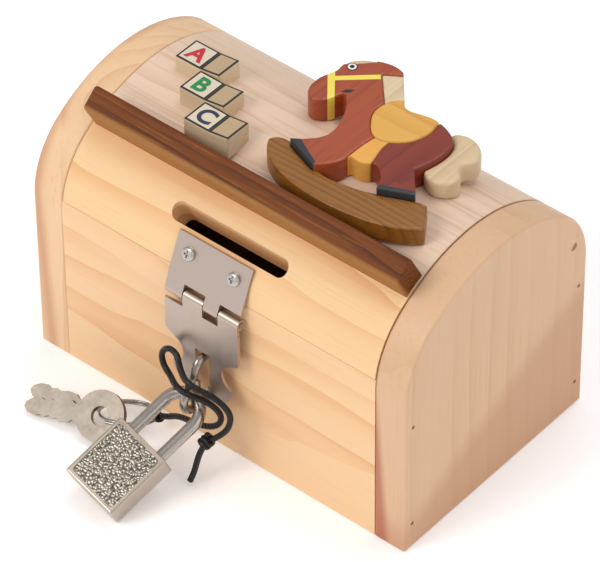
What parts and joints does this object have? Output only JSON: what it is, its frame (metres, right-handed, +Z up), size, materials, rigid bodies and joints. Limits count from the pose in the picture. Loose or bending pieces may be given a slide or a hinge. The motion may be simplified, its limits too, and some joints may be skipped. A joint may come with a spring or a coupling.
{
  "type": "coin bank",
  "caption": "Wooden money box shaped as a small domed chest, with a coin slot, a hasp, a padlock and keys on a cord, and a toy horse on its lid.",
  "frame": {"origin": "centre of the box's base, on the surface it stands on", "axes": "+X along the box towards its right end, +Y from the hasp side to the hinge side, +Z up"},
  "size_m": [0.15, 0.1387, 0.1044],
  "materials": {
    "pine_end": "sanded pine end grain",
    "pine_board": "sanded pine",
    "plywood": "birch plywood",
    "lid_pine": "sanded pine, fine grain",
    "strip_wood": "dark brown sapele",
    "block_wood": "painted letters on pale maple",
    "horse_wood": "red-brown padauk",
    "saddle_wood": "golden ash",
    "girth_wood": "orange larch",
    "cream_wood": "cream limewood",
    "rocker_wood": "olive-brown walnut",
    "nickel": "satin nickel plate",
    "steel": "bright steel wire",
    "brad_steel": "darkened steel",
    "case_nickel": "satin champagne nickel",
    "cast_nickel": "pebbled nickel casting",
    "brass": "turned brass",
    "waxed_cord": "black waxed cotton cord"
  },
  "bodies": {
    "box": {"end_panel_left": "pine_end", "end_panel_right": "pine_end", "front_board": "pine_board", "back_board": "pine_board", "bottom_panel": "plywood", "panel_brads": "brad_steel", "lid_pivot_pins": "steel", "staple": "nickel", "key_1": "nickel", "key_2": "nickel", "key_ring": "steel", "ring_hitch": "waxed_cord", "key_cord": "waxed_cord", "cord_knot": "waxed_cord", "cord_tail": "waxed_cord"},
    "lid": {"lid_front_stave": "pine_board", "lid_top_stave": "lid_pine", "lid_rear_stave": "lid_pine", "crown_strip": "strip_wood", "block_a": "block_wood", "block_b": "block_wood", "block_c": "block_wood", "horse_front": "horse_wood", "horse_hindquarters": "horse_wood", "horse_saddle": "saddle_wood", "horse_girth": "girth_wood", "horse_mane": "cream_wood", "horse_forelock": "cream_wood", "horse_tail": "cream_wood", "horse_rocker": "rocker_wood", "hasp_leaf": "nickel", "hasp_screws": "nickel", "hasp_pin": "steel"},
    "flap": {"hasp_flap": "nickel"},
    "shackle": {"padlock_shackle": "steel"},
    "lock_case": {"padlock_case": "case_nickel", "padlock_face_plates": "cast_nickel", "latch_spring": "steel"},
    "cylinder": {"lock_cylinder": "brass"},
    "latch": {"lock_latch": "brass"}
  },
  "joints": [
    {"name": "lid_hinge", "type": "hinge", "parent": "box", "child": "lid", "pos_m": [0, 0.0372, 0.0695], "axis": [-1, 0, 0], "range_deg": [0, 95]},
    {"name": "flap_hinge", "type": "hinge", "parent": "lid", "child": "flap", "pos_m": [-0.0022, -0.04645, 0.05952], "axis": [1, 0, 0], "range_deg": [0, 76]},
    {"name": "padlock_swing", "type": "hinge", "parent": "box", "child": "shackle", "pos_m": [-0.00202, -0.05272, 0.02496], "axis": [-1, 0, 0], "range_deg": [0, 40]},
    {"name": "case_release", "type": "slide", "parent": "shackle", "child": "lock_case", "axis": [-0.1988, -0.882, -0.4272], "range_m": [0, 0.003]},
    {"name": "cylinder_turn", "type": "hinge", "parent": "lock_case", "child": "cylinder", "pos_m": [-0.00908, -0.08403, 0.00979], "axis": [-0.1988, -0.882, -0.4272], "range_deg": [0, 90]},
    {"name": "latch_draw", "type": "slide", "parent": "lock_case", "child": "latch", "axis": [-0.9698, 0.1143, 0.2153], "range_m": [0, 0.002], "deforming": ["latch_spring"]}
  ],
  "couplings": [
    {"joint": "flap_hinge", "follows": "lid_hinge", "ratio": 0.8},
    {"joint": "cylinder_turn", "follows": "case_release", "rad_per_m": 523.5},
    {"joint": "latch_draw", "follows": "case_release", "ratio": 0.665}
  ]
}
